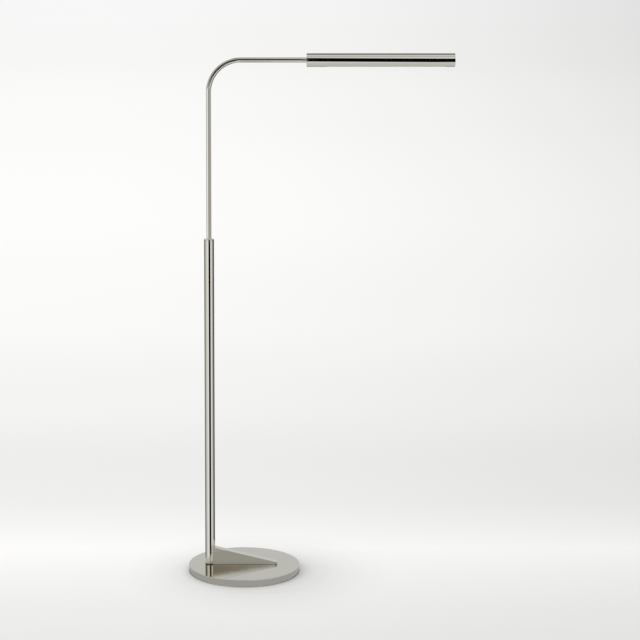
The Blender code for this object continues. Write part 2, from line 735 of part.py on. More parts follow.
def main():
    """Build the lamp group by group."""
    base = [make_base_pad(), make_base_disc(), make_base_fin(), make_cord_grommet()]
    base += [make_fin_screw(index, x) for index, x in enumerate(FIN_SCREW_X, 1)]
    base += make_pole_fastening() + make_pole()
    slider = make_slider()
    arm = [make_arm_tube(), make_arm_lead()] + make_arm_fittings()
    shade = [make_shade_tube(), make_hub_screw(), make_outer_cap()] + make_shade_swivel() + make_light()
    hang_on(axis_empty("base_frame", (0, 0, 0)), base)
    slider_axis = axis_empty("height_slide_axis", (POLE_X, 0, ARM_FOOT))
    arm_axis = axis_empty("arm_swivel_axis", (POLE_X, 0, ARM_Z))
    shade_axis = axis_empty("shade_turn_axis", (SHADE_START, 0, ARM_Z))
    hang_on(slider_axis, slider + [arm_axis])
    hang_on(arm_axis, arm + [shade_axis])
    hang_on(shade_axis, shade)
    for piece in base + slider + arm + shade:
        if piece.type == "MESH":
            smooth(piece.data)


main()
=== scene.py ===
import json
import math

import bmesh
import bpy
from mathutils import Matrix, Vector


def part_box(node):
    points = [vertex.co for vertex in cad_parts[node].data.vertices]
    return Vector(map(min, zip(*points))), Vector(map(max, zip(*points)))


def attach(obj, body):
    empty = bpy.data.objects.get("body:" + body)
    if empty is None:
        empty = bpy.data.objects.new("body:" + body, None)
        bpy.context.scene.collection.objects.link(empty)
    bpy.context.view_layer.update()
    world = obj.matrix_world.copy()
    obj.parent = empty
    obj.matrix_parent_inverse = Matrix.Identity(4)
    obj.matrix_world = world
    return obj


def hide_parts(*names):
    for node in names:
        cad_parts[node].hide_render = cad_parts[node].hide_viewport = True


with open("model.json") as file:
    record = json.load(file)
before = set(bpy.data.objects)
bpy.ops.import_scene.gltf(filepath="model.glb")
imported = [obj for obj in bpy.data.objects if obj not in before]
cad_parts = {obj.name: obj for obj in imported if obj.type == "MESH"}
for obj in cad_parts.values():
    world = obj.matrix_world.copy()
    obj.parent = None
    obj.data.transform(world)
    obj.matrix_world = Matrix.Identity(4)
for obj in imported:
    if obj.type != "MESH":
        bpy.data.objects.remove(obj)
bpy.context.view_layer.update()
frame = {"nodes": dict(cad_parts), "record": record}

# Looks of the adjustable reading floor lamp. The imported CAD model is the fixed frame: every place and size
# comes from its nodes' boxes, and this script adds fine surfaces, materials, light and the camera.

MM = 0.001
GAP = 0.3 * MM  # clearance between the CAD's pieces

# ---------------------------------------------------------------- places read from the frame


def centre(node):
    """Middle of a CAD node's box."""
    low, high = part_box(node)
    return (low + high) / 2


def size(node):
    """Side lengths of a CAD node's box."""
    low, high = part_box(node)
    return high - low


DISC_LOW, DISC_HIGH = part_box("base_disc")
DISC_RADIUS = DISC_HIGH.x
DISC_TOP = DISC_HIGH.z
PAD_LOW, PAD_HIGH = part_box("base_pad")
POLE_LOW, POLE_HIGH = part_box("lower_tube")
POLE_X = centre("lower_tube").x
POLE_RADIUS = size("lower_tube").y / 2
CAP_LOW, CAP_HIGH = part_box("tube_cap")
FIN_LOW, FIN_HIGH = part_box("base_fin")
ARM_LOW, ARM_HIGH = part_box("arm_tube")
ARM_RADIUS = size("arm_tube").y / 2
ARM_Z = ARM_HIGH.z - ARM_RADIUS
SHADE_LOW, SHADE_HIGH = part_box("shade_tube")
SHADE_RADIUS = size("shade_tube").y / 2
GASKET_LOW, GASKET_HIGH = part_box("foot_gasket")
SLOT_LOW, SLOT_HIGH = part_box("diffuser")

# Shapes that a box doesn't give
DISC_EDGE = 0.8 * MM
POLE_BORE = 11.2 * MM
FIN_TIP_RISE = 6.0 * MM
FIN_CORNER = 6.0 * MM
ARM_BORE = 5.15 * MM
ARM_BEND = 80.0 * MM
SHADE_BORE = 15.9 * MM
RECESS_RADIUS = 16.0 * MM
RECESS_DEPTH = 9.0 * MM
NIPPLE_HOLE = 5.6 * MM
GROOVE = 9.0 * MM
SCREW_HOLE = 2.5 * MM
SCREW_SEAT = 4.6 * MM
SCREW_SEAT_DEPTH = 3.6 * MM
HUB_SCREW_HOLE = 2.1 * MM
CUTTER_PAST = 2 * MM  # how far a cutter goes past a face
PAD_EDGE = 0.5 * MM
FIN_EDGE = 0.45 * MM
FIN_HOLE_PAST = 4 * GAP
POLE_EDGE = 0.1 * MM
FOOT_RING_EDGE = 0.3 * MM
TOP_RING_EDGE = 0.2 * MM
BUSH_WALL = 0.9 * MM
BUSH_EDGE = 0.4 * MM
SHADE_EDGE = 0.2 * MM
INNER_COVER_EDGE = 0.3 * MM
OUTER_COVER_EDGE = 0.4 * MM
DIFFUSER_EDGE = 0.2 * MM

# ---------------------------------------------------------------- mesh helpers


def add_mesh(name, points, faces):
    """A mesh object in the scene from points and faces, its faces turned outwards."""
    mesh = bpy.data.meshes.new(name)
    mesh.from_pydata([tuple(point) for point in points], [], faces)
    bm = bmesh.new()
    bm.from_mesh(mesh)
    bmesh.ops.recalc_face_normals(bm, faces=bm.faces)
    bm.to_mesh(mesh)
    bm.free()
    obj = bpy.data.objects.new(name, mesh)
    bpy.context.scene.collection.objects.link(obj)
    return obj


def smooth(obj, angle=32.0):
    """Smooth shading that keeps large flat faces flat and corners above the angle crisp."""
    obj.data.shade_smooth()
    obj.data.set_sharp_from_angle(angle=math.radians(angle))
    weighted = obj.modifiers.new("even_shading", "WEIGHTED_NORMAL")
    weighted.keep_sharp = True
    return obj


def fillet(profile, radius, steps=4):
    """The closed profile with each corner off the axis rounded."""
    count = len(profile)
    rounded = []
    for i, corner in enumerate(profile):
        corner = Vector(corner)
        if corner.x == 0:
            rounded.append(corner)
            continue
        before = Vector(profile[i - 1]) - corner
        after = Vector(profile[(i + 1) % count]) - corner
        reach = min(radius, 0.45 * before.length, 0.45 * after.length)
        start = corner + before.normalized() * reach
        finish = corner + after.normalized() * reach
        for step in range(steps + 1):
            t = step / steps
            rounded.append(start * (1 - t) ** 2 + corner * 2 * t * (1 - t) + finish * t**2)
    return rounded


def ring_profile(outer, bore, low, high):
    """A plain ring between two heights."""
    return [(outer, high), (outer, low), (bore, low), (bore, high)]


def rod_profile(radius, low, high):
    """A solid round between two heights, from the axis and back to it."""
    return [(0, high), (radius, high), (radius, low), (0, low)]


def lathe(name, profile, place, along=(0, 0, 1), steps=192):
    """A turned piece: the (radius, height) profile goes round the line through place."""
    turn = Vector((0, 0, 1)).rotation_difference(Vector(along)).to_matrix().to_4x4()
    seat = Matrix.Translation(place) @ turn
    solid = profile[0][0] == 0
    points = []
    rows = []
    for radius, height in profile:
        if radius == 0:
            rows.append([len(points)] * steps)
            points.append(seat @ Vector((0, 0, height)))
            continue
        rows.append(list(range(len(points), len(points) + steps)))
        for i in range(steps):
            angle = 2 * math.pi * i / steps
            points.append(seat @ Vector((radius * math.cos(angle), radius * math.sin(angle), height)))
    pairs = list(zip(rows, rows[1:]))
    if not solid:
        pairs.append((rows[-1], rows[0]))
    faces = []
    for upper, lower in pairs:
        for i in range(steps):
            j = (i + 1) % steps
            corners = [upper[i], upper[j], lower[j], lower[i]]
            faces.append(list(dict.fromkeys(corners)))
    return add_mesh(name, points, faces)


def sweep(name, path, outer, bore, sides=96):
    """A round tube along a path in the XZ plane, with its bore and flat ends."""
    points = []
    rows = []
    for radius, stations in ((outer, path), (bore, path[::-1])):
        for x, z, slope in stations:
            across = Vector((-math.sin(slope), 0, math.cos(slope)))
            rows.append(list(range(len(points), len(points) + sides)))
            for i in range(sides):
                angle = 2 * math.pi * i / sides
                offset = across * math.cos(angle) + Vector((0, 1, 0)) * math.sin(angle)
                points.append(Vector((x, 0, z)) + offset * radius)
    faces = []
    for a, b in zip(rows, rows[1:] + rows[:1]):
        for i in range(sides):
            j = (i + 1) % sides
            faces.append([a[i], a[j], b[j], b[i]])
    return add_mesh(name, points, faces)


def box_mesh(name, low, high):
    """A box between two corners."""
    low = Vector(low)
    high = Vector(high)
    corners = [(x, y, z) for x in (low.x, high.x) for y in (low.y, high.y) for z in (low.z, high.z)]
    faces = [(0, 1, 3, 2), (4, 6, 7, 5), (0, 4, 5, 1), (2, 3, 7, 6), (0, 2, 6, 4), (1, 5, 7, 3)]
    return add_mesh(name, corners, faces)


def round_bar(name, radius, start, end, steps=64):
    """A cylinder between two points, to cut with."""
    start = Vector(start)
    line = Vector(end) - start
    return lathe(name, rod_profile(radius, 0, line.length), start, line.normalized(), steps)


def cut(obj, *cutters):
    """Take the cutters out of the object's mesh, and remove them."""
    for cutter in cutters:
        boolean = obj.modifiers.new("cut", "BOOLEAN")
        boolean.operation = "DIFFERENCE"
        boolean.solver = "EXACT"
        boolean.object = cutter
        bpy.context.view_layer.update()
        graph = bpy.context.evaluated_depsgraph_get()
        done = bpy.data.meshes.new_from_object(obj.evaluated_get(graph))
        obj.modifiers.remove(boolean)
        obj.data = done
        bpy.data.objects.remove(cutter)
    return obj


def bevel(obj, width, segments=3, angle=35.0):
    """Small rounded edges on a machined piece."""
    rounded = obj.modifiers.new("rounded_edges", "BEVEL")
    rounded.width = width
    rounded.segments = segments
    rounded.limit_method = "ANGLE"
    rounded.angle_limit = math.radians(angle)
    return obj


def fit(obj, body, slot, finish, *nodes):
    """Give a piece its finish and its body, and hide the CAD nodes that it stands for. The slot argument is
    not used.
    """
    obj.data.materials.clear()
    obj.data.materials.append(finish)
    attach(obj, body)
    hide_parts(*nodes)
    return obj


# ---------------------------------------------------------------- material helpers


class Shader:
    """A node material with a Principled shader, and short calls that add nodes to it."""

    def __init__(self, name, colour, roughness, metallic=0.0, **sockets):
        self.material = bpy.data.materials.new(name)
        self.material.use_nodes = True
        self.tree = self.material.node_tree
        self.principled = self.tree.nodes["Principled BSDF"]
        self.principled.inputs["Base Color"].default_value = (*colour, 1.0)
        self.principled.inputs["Roughness"].default_value = roughness
        self.principled.inputs["Metallic"].default_value = metallic
        for socket, value in sockets.items():
            self.principled.inputs[socket.replace("_", " ")].default_value = value
        self.place = self.tree.nodes.new("ShaderNodeTexCoord").outputs["Object"]

    def add(self, kind, **values):
        """A node with its properties or inputs set by name."""
        made = self.tree.nodes.new(kind)
        for key, value in values.items():
            if hasattr(made, key):
                setattr(made, key, value)
            else:
                made.inputs[key.replace("_", " ")].default_value = value
        return made

    def link(self, source, target):
        """Join two sockets."""
        self.tree.links.new(source, target)

    def stretched(self, scale):
        """The object's own coordinates, scaled along each axis."""
        mapping = self.add("ShaderNodeMapping")
        mapping.inputs["Scale"].default_value = scale
        self.link(self.place, mapping.inputs["Vector"])
        return mapping.outputs["Vector"]

    def noise(self, scale, detail=3.0, stretch=(1, 1, 1)):
        """Soft noise, with its scale in waves a metre."""
        made = self.add("ShaderNodeTexNoise", Scale=scale, Detail=detail)
        self.link(self.stretched(stretch), made.inputs["Vector"])
        return made.outputs["Fac"]

    def spread(self, source, low, high, floor=0.3, ceiling=0.7):
        """Map a noise's usual range to a range of values."""
        made = self.add("ShaderNodeMapRange")
        made.inputs["From Min"].default_value = floor
        made.inputs["From Max"].default_value = ceiling
        made.inputs["To Min"].default_value = low
        made.inputs["To Max"].default_value = high
        self.link(source, made.inputs["Value"])
        return made.outputs["Result"]

    def tint(self, source, first, second, floor=0.3, ceiling=0.7):
        """Base colour that moves between two tints."""
        ramp = self.add("ShaderNodeValToRGB")
        ramp.color_ramp.elements[0].position = floor
        ramp.color_ramp.elements[0].color = (*first, 1.0)
        ramp.color_ramp.elements[1].position = ceiling
        ramp.color_ramp.elements[1].color = (*second, 1.0)
        self.link(source, ramp.inputs["Fac"])
        self.link(ramp.outputs["Color"], self.principled.inputs["Base Color"])

    def rough(self, source, low, high, floor=0.3, ceiling=0.7):
        """Roughness that follows a texture."""
        self.link(self.spread(source, low, high, floor, ceiling), self.principled.inputs["Roughness"])

    def bump(self, source, height, strength=1.0):
        """Relief of the given height in metres."""
        made = self.add("ShaderNodeBump", Strength=strength, Distance=height)
        self.link(source, made.inputs["Height"])
        self.link(made.outputs["Normal"], self.principled.inputs["Normal"])


# ---------------------------------------------------------------- materials


def polished_nickel():
    """Bright warm nickel plate with a faint film, hairline polishing marks and a few duller patches."""
    shader = Shader("polished_nickel", (0.655, 0.643, 0.580), roughness=0.025, metallic=1.0)
    film = shader.noise(9.0, detail=4.0)
    shader.tint(film, (0.643, 0.629, 0.563), (0.667, 0.656, 0.596))
    hairlines = shader.noise(420.0, detail=2.0, stretch=(1.0, 1.0, 0.06))
    worn = shader.add("ShaderNodeMath", operation="MULTIPLY")
    shader.link(film, worn.inputs[0])
    shader.link(hairlines, worn.inputs[1])
    shader.rough(worn.outputs["Value"], low=0.012, high=0.032, floor=0.12, ceiling=0.45)
    shader.bump(shader.noise(38.0, detail=1.0), height=0.000002)
    return shader.material


def zinc_plated_steel():
    """Bright zinc plate with its fine crystalline bloom."""
    shader = Shader("zinc_plated_steel", (0.50, 0.52, 0.55), roughness=0.32, metallic=1.0)
    bloom = shader.noise(900.0, detail=5.0)
    shader.tint(bloom, (0.42, 0.44, 0.47), (0.60, 0.61, 0.63))
    shader.rough(bloom, low=0.22, high=0.42)
    shader.bump(bloom, height=0.00002, strength=0.5)
    return shader.material


def turned_brass():
    """Free-cutting brass with the lathe's fine rings."""
    shader = Shader("turned_brass", (0.72, 0.53, 0.24), roughness=0.25, metallic=1.0)
    tool_marks = shader.noise(2600.0, detail=1.0, stretch=(0.02, 0.02, 1.0))
    tarnish = shader.noise(160.0, detail=3.0)
    shader.tint(tarnish, (0.60, 0.42, 0.17), (0.78, 0.60, 0.30))
    shader.rough(tool_marks, low=0.18, high=0.38)
    shader.bump(tool_marks, height=0.00001, strength=0.6)
    return shader.material


def natural_nylon():
    """Milky moulded nylon, a little translucent."""
    shader = Shader("natural_nylon", (0.78, 0.75, 0.66), roughness=0.42, Subsurface_Weight=0.15)
    cloud = shader.noise(300.0, detail=4.0)
    shader.tint(cloud, (0.74, 0.71, 0.62), (0.82, 0.80, 0.72))
    shader.rough(cloud, low=0.36, high=0.50)
    shader.bump(shader.noise(4000.0, detail=2.0), height=0.00001, strength=0.4)
    return shader.material


def black_rubber():
    """Moulded rubber with a dusty bloom."""
    shader = Shader("black_rubber", (0.018, 0.018, 0.018), roughness=0.62)
    grain = shader.noise(2200.0, detail=4.0)
    shader.tint(shader.noise(240.0, detail=3.0), (0.012, 0.012, 0.012), (0.030, 0.029, 0.028))
    shader.rough(grain, low=0.52, high=0.80)
    shader.bump(grain, height=0.00003, strength=0.6)
    return shader.material


def satin_aluminium():
    """Extruded bar with die lines along its length."""
    shader = Shader("satin_aluminium", (0.74, 0.75, 0.76), roughness=0.36, metallic=1.0)
    die_lines = shader.noise(1800.0, detail=2.0, stretch=(0.01, 1.0, 1.0))
    shader.tint(die_lines, (0.66, 0.67, 0.68), (0.80, 0.80, 0.81))
    shader.rough(die_lines, low=0.28, high=0.46)
    shader.bump(die_lines, height=0.00002, strength=0.5)
    return shader.material


def black_felt():
    """Pressed wool felt: tangled fibres with lint."""
    shader = Shader("black_felt", (0.035, 0.034, 0.033), 0.95, Sheen_Weight=0.35, Sheen_Roughness=0.6)
    fibre = shader.noise(1500.0, detail=6.0)
    shader.tint(fibre, (0.018, 0.018, 0.018), (0.070, 0.067, 0.063))
    shader.rough(fibre, low=0.88, high=1.0)
    shader.bump(fibre, height=0.00025, strength=0.8)
    return shader.material


def opal_acrylic():
    """Milk-white acrylic strip."""
    shader = Shader("opal_acrylic", (0.88, 0.88, 0.86), 0.28, Subsurface_Weight=0.35, Coat_Weight=0.1)
    shader.principled.inputs["Subsurface Radius"].default_value = (0.003, 0.003, 0.003)
    cloud = shader.noise(70.0, detail=3.0)
    shader.tint(cloud, (0.86, 0.86, 0.83), (0.91, 0.91, 0.90))
    shader.rough(shader.noise(700.0, detail=3.0), low=0.24, high=0.36)
    return shader.material


def white_board():
    """White solder mask with the copper tracks showing faintly through."""
    shader = Shader("white_board", (0.82, 0.83, 0.82), roughness=0.38)
    tracks = shader.add("ShaderNodeTexBrick", Scale=120.0)
    tracks.inputs["Color1"].default_value = (0.80, 0.81, 0.80, 1.0)
    tracks.inputs["Color2"].default_value = (0.84, 0.85, 0.84, 1.0)
    tracks.inputs["Mortar"].default_value = (0.70, 0.73, 0.70, 1.0)
    tracks.inputs["Mortar Size"].default_value = 0.06
    shader.link(shader.place, tracks.inputs["Vector"])
    shader.link(tracks.outputs["Color"], shader.principled.inputs["Base Color"])
    shader.rough(shader.noise(900.0, detail=2.0), low=0.30, high=0.45)
    shader.bump(tracks.outputs["Fac"], height=0.00002, strength=0.4)
    return shader.material


def grey_sheath():
    """Soft PVC sheath of the lead."""
    shader = Shader("grey_sheath", (0.20, 0.20, 0.20), roughness=0.5)
    grain = shader.noise(1400.0, detail=3.0)
    shader.tint(shader.noise(60.0, detail=3.0), (0.17, 0.17, 0.17), (0.23, 0.23, 0.23))
    shader.rough(grain, low=0.42, high=0.60)
    shader.bump(grain, height=0.00002, strength=0.5)
    return shader.material


NICKEL = polished_nickel()
FINISHES = {
    "polished_nickel": NICKEL,
    "zinc_plated_steel": zinc_plated_steel(),
    "turned_brass": turned_brass(),
    "natural_nylon": natural_nylon(),
    "black_rubber": black_rubber(),
    "satin_aluminium": satin_aluminium(),
    "black_felt": black_felt(),
    "opal_acrylic": opal_acrylic(),
    "white_board": white_board(),
    "grey_sheath": grey_sheath(),
}


def dress_cad_nodes():
    """Every carried-over CAD node takes the procedural finish of its slot."""
    for entry in frame["record"]["subparts"]:
        mesh = frame["nodes"][entry["node"]].data
        mesh.materials.clear()
        mesh.materials.append(FINISHES[entry["material_slot"]])


# ---------------------------------------------------------------- base


def make_base_disc():
    """Heavy polished disc, relieved underneath for the nut, the cord and the fin's screws."""
    profile = rod_profile(DISC_RADIUS, DISC_LOW.z, DISC_TOP)
    disc = lathe("disc_weight", fillet(profile, DISC_EDGE, steps=6), (0, 0, 0), steps=360)
    below = DISC_LOW.z - CUTTER_PAST
    above = DISC_TOP + CUTTER_PAST
    pole = (POLE_X, 0)
    cutters = [
        round_bar("recess", RECESS_RADIUS, (*pole, below), (*pole, DISC_LOW.z + RECESS_DEPTH), steps=96),
        round_bar("nipple_hole", NIPPLE_HOLE, (*pole, below), (*pole, above)),
        box_mesh(
            "groove",
            (POLE_X - GROOVE / 2, 0, below),
            (POLE_X + GROOVE / 2, DISC_RADIUS, DISC_LOW.z + GROOVE),
        ),
    ]
    for screw in ("fin_screw_1", "fin_screw_2"):
        x = centre(screw).x
        seat_top = DISC_LOW.z + SCREW_SEAT_DEPTH
        cutters.append(round_bar("screw_hole", SCREW_HOLE, (x, 0, below), (x, 0, above), steps=32))
        cutters.append(round_bar("screw_seat", SCREW_SEAT, (x, 0, below), (x, 0, seat_top), steps=48))
    fit(smooth(cut(disc, *cutters)), "base", "polished_nickel", NICKEL, "base_disc")


def make_base_pad():
    """Felt under the disc, with soft edges."""
    profile = fillet(rod_profile(PAD_HIGH.x, PAD_LOW.z, PAD_HIGH.z), PAD_EDGE)
    pad = lathe("felt_pad", profile, (0, 0, 0), steps=240)
    fit(smooth(pad), "base", "black_felt", FINISHES["black_felt"], "base_pad")


def make_base_fin():
    """Wedge that braces the pole: a hollow seat against it, a straight sloping top and a rounded tip."""
    half = FIN_HIGH.y
    foot = FIN_LOW.z
    tip_x = FIN_HIGH.x
    tip_z = DISC_TOP + FIN_TIP_RISE
    seat = POLE_RADIUS + GAP
    seat_angle = math.asin(half / seat)
    slope = (FIN_HIGH.z - tip_z) / (FIN_LOW.x - tip_x)
    corner_x = tip_x - FIN_CORNER
    corner_y = half - FIN_CORNER
    outline = []
    arc_steps = 16
    for i in range(2 * arc_steps + 1):
        angle = seat_angle * (1 - i / arc_steps)
        outline.append((POLE_X + seat * math.cos(angle), seat * math.sin(angle)))
    for side, first in ((-1, -90), (1, 0)):
        for i in range(arc_steps + 1):
            angle = math.radians(first + 90 * i / arc_steps)
            x = corner_x + FIN_CORNER * math.cos(angle)
            outline.append((x, side * corner_y + FIN_CORNER * math.sin(angle)))
    lower = [(x, y, foot) for x, y in outline]
    upper = [(x, y, tip_z + slope * (x - tip_x)) for x, y in outline]
    count = len(outline)
    faces = [list(range(count))[::-1], [count + i for i in range(count)]]
    faces += [[i, (i + 1) % count, count + (i + 1) % count, count + i] for i in range(count)]
    fin = add_mesh("pole_fin", lower + upper, faces)
    for screw in ("fin_screw_1", "fin_screw_2"):
        x = centre(screw).x
        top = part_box(screw)[1].z + FIN_HOLE_PAST
        cut(fin, round_bar("fin_hole", SCREW_HOLE, (x, 0, 0), (x, 0, top), steps=32))
    bevel(fin, FIN_EDGE)
    fit(smooth(fin), "base", "polished_nickel", NICKEL, "base_fin")


def make_pole():
    """Lower tube, its rubber foot ring and the flat ring that closes its top."""
    at_pole = (POLE_X, 0, 0)
    wall = ring_profile(POLE_RADIUS, POLE_BORE, POLE_LOW.z, POLE_HIGH.z)
    tube = lathe("pole_tube", fillet(wall, POLE_EDGE), at_pole)
    fit(smooth(tube), "base", "polished_nickel", NICKEL, "lower_tube")
    ring = ring_profile(POLE_RADIUS, NIPPLE_HOLE, GASKET_LOW.z, GASKET_HIGH.z)
    gasket = lathe("pole_foot_ring", fillet(ring, FOOT_RING_EDGE), at_pole)
    fit(smooth(gasket), "base", "black_rubber", FINISHES["black_rubber"], "foot_gasket")
    bore = ARM_RADIUS + 2 * GAP
    spigot = POLE_BORE - GAP
    shoulder = POLE_HIGH.z + GAP
    profile = [
        (POLE_RADIUS, CAP_HIGH.z),
        (POLE_RADIUS, shoulder),
        (spigot, shoulder),
        (spigot, CAP_LOW.z),
        (bore, CAP_LOW.z),
        (bore, CAP_HIGH.z),
    ]
    cap = lathe("pole_top_ring", fillet(profile, TOP_RING_EDGE), at_pole)
    fit(smooth(cap), "base", "polished_nickel", NICKEL, "tube_cap")


def make_cord_inlet():
    """Flexible bush in the groove's mouth, with a rounded lip."""
    low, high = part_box("cord_grommet")
    outer = size("cord_grommet").x / 2
    bore = outer - BUSH_WALL
    place = (centre("cord_grommet").x, low.y, centre("cord_grommet").z)
    profile = fillet(ring_profile(outer, bore, 0, high.y - low.y), BUSH_EDGE)
    bush = lathe("cord_bush", profile, place, along=(0, 1, 0), steps=64)
    fit(smooth(bush), "base", "black_rubber", FINISHES["black_rubber"], "cord_grommet")


# ---------------------------------------------------------------- arm and shade


def make_arm():
    """Upper tube in one piece: upright, bend and reach."""
    bend_steps = 72
    stations = [(POLE_X, ARM_LOW.z, math.pi / 2)]
    middle = (POLE_X + ARM_BEND, ARM_Z - ARM_BEND)
    for i in range(bend_steps + 1):
        turn = math.pi / 2 * i / bend_steps
        x = middle[0] - ARM_BEND * math.cos(turn)
        z = middle[1] + ARM_BEND * math.sin(turn)
        stations.append((x, z, math.pi / 2 - turn))
    stations.append((ARM_HIGH.x, ARM_Z, 0.0))
    tube = sweep("arm_rod", stations, ARM_RADIUS, ARM_BORE)
    fit(smooth(tube), "arm", "polished_nickel", NICKEL, "arm_tube")


def make_shade():
    """Plain cylinder with crisp ends, the slot for the light underneath, and its two end covers."""
    start = SHADE_LOW.x
    length = SHADE_HIGH.x - start
    axis = (start, 0, ARM_Z)
    profile = fillet(ring_profile(SHADE_RADIUS, SHADE_BORE, 0, length), SHADE_EDGE)
    tube = lathe("shade_cylinder", profile, axis, along=(1, 0, 0), steps=256)
    edge = SHADE_RADIUS / 2
    slot_low = (SLOT_LOW.x - GAP, SLOT_LOW.y - GAP, ARM_Z - SHADE_RADIUS - CUTTER_PAST)
    slot_high = (SLOT_HIGH.x + GAP, SLOT_HIGH.y + GAP, ARM_Z - edge)
    screw_x = centre("hub_screw").x
    hole_top = (screw_x, 0, ARM_Z - edge)
    hole_foot = (screw_x, 0, ARM_Z - 2 * SHADE_RADIUS)
    hole = round_bar("hub_hole", HUB_SCREW_HOLE, hole_top, hole_foot, steps=48)
    cut(tube, box_mesh("light_slot", slot_low, slot_high), hole)
    fit(smooth(tube), "shade", "polished_nickel", NICKEL, "shade_tube")

    low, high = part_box("inner_cap")
    outer = size("inner_cap").y / 2
    profile = fillet(ring_profile(outer, ARM_RADIUS + 2 * GAP, 0, high.x - low.x), INNER_COVER_EDGE)
    cover = lathe("shade_cover_inner", profile, (low.x, 0, ARM_Z), along=(1, 0, 0))
    fit(smooth(cover), "shade", "polished_nickel", NICKEL, "inner_cap")

    low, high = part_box("outer_cap")
    outer = size("outer_cap").y / 2
    profile = fillet(rod_profile(outer, 0, high.x - low.x), OUTER_COVER_EDGE)
    cover = lathe("shade_cover_outer", profile, (low.x, 0, ARM_Z), along=(1, 0, 0))
    fit(smooth(cover), "shade", "polished_nickel", NICKEL, "outer_cap")


def make_diffuser():
    """Opal strip in the slot, flush with the cylinder's curve."""
    low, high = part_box("diffuser")
    half = math.asin(high.y / SHADE_RADIUS)
    arc_steps = 24
    outline = []
    for i in range(arc_steps + 1):
        angle = -half + 2 * half * i / arc_steps
        outline.append((SHADE_RADIUS * math.sin(angle), ARM_Z - SHADE_RADIUS * math.cos(angle)))
    outline += [(high.y, high.z), (low.y, high.z)]
    count = len(outline)
    points = [(x, y, z) for x in (low.x, high.x) for y, z in outline]
    faces = [list(range(count)), [count + i for i in range(count)][::-1]]
    faces += [[i, (i + 1) % count, count + (i + 1) % count, count + i] for i in range(count)]
    strip = bevel(add_mesh("light_diffuser", points, faces), DIFFUSER_EDGE, segments=2)
    fit(smooth(strip), "shade", "opal_acrylic", FINISHES["opal_acrylic"], "diffuser")


# ---------------------------------------------------------------- studio


FLOOR_REACH = 600.0
# Painted light on the floor: its colour in bands across it, standing in for the studio light's pool and
# fall-off, as (metres towards the back, reflectance)
PAINTED_LIGHT_SPAN = (-1.0, 60.0)
PAINTED_LIGHT_STOPS = [
    (-0.95, 0.800), (-0.60, 0.742), (-0.48, 0.740), (-0.36, 0.758), (-0.24, 0.778), (-0.08, 0.812),
    (0.06, 0.856), (0.28, 0.888), (0.42, 0.818), (0.56, 0.775), (1.13, 0.760), (2.1, 0.805),
    (3.9, 0.848), (8.3, 0.874), (22.0, 0.852), (60.0, 0.825),
]
# The painted light bands stay between two lines that spread towards the back, and the rest of the floor is
# plain
BAND_FROM = 4.5
BAND_SIDES = (-0.27, 0.36)
BAND_SOFT = 0.11
NEAR_LEAST = 0.5
PLAIN_FLOOR = 0.80
# The painted light on the floor, and the backdrop's light, fall off to the sides by these
SIDE_SLOPE = 0.38  # it falls off to the right and, by the square, to both sides
SIDE_CURVE = 2.0
SIDE_REACH = 8.0
LEAST_SIDE = 0.8  # and keeps at least this share
# A soft painted shadow round the base, darkening the floor's colour, as (metres from its middle, share left)
PAINTED_SHADOW_MIDDLE = (0.035, -0.015, 0.0)
PAINTED_SHADOW_REACH = 0.5
PAINTED_SHADOW_STOPS = [
    (0.0, 0.82), (0.13, 0.84), (0.17, 0.87), (0.205, 0.915), (0.25, 0.95), (0.30, 0.98), (0.36, 1.0),
]
FLOOR_TINT = (1.0, 0.996, 0.984)


def make_floor():
    """Very large pale matt floor, with painted light bands and a painted shadow round the base in its
    colour. Polished faces see the studio's light instead of it.
    """
    low, high = -FLOOR_REACH, FLOOR_REACH
    corners = [(low, low, 0), (high, low, 0), (high, high, 0), (low, high, 0)]
    floor = add_mesh("studio_floor", corners, [(0, 1, 2, 3)])
    shader = Shader("studio_floor", FLOOR_TINT, 1.0, Specular_IOR_Level=0.0)
    kit = LightNodes(shader.tree)
    split = shader.add("ShaderNodeSeparateXYZ")
    shader.link(shader.place, split.inputs["Vector"])
    # painted light: bands in the floor's colour for the studio light's pool, and below its fall-off to the
    # sides
    painted_light = kit.curve(split.outputs["Y"], *PAINTED_LIGHT_SPAN, PAINTED_LIGHT_STOPS)
    near = kit.math("ADD", split.outputs["Y"], BAND_FROM)
    distance = shader.add("ShaderNodeVectorMath", operation="DISTANCE")
    distance.inputs[1].default_value = PAINTED_SHADOW_MIDDLE
    shader.link(shader.place, distance.inputs[0])
    away = distance.outputs["Value"]
    # painted shadow round the base, in the floor's colour
    painted_shadow = kit.curve(away, 0.0, PAINTED_SHADOW_REACH, PAINTED_SHADOW_STOPS)
    side = kit.math("DIVIDE", split.outputs["X"], kit.math("ADD", away, SIDE_REACH))
    spread = kit.math("DIVIDE", split.outputs["X"], kit.math("MAXIMUM", near, NEAR_LEAST))
    inside = kit.window(spread, *BAND_SIDES, BAND_SOFT)
    shaped = kit.both(painted_light, kit.fall(side))
    level = kit.both(kit.mix(inside, PLAIN_FLOOR, shaped), painted_shadow)
    scale = shader.add("ShaderNodeVectorMath", operation="SCALE")
    scale.inputs[0].default_value = FLOOR_TINT
    shader.link(level, scale.inputs["Scale"])
    shader.link(scale.outputs["Vector"], shader.principled.inputs["Base Color"])
    floor.data.materials.append(shader.material)
    floor.visible_glossy = False


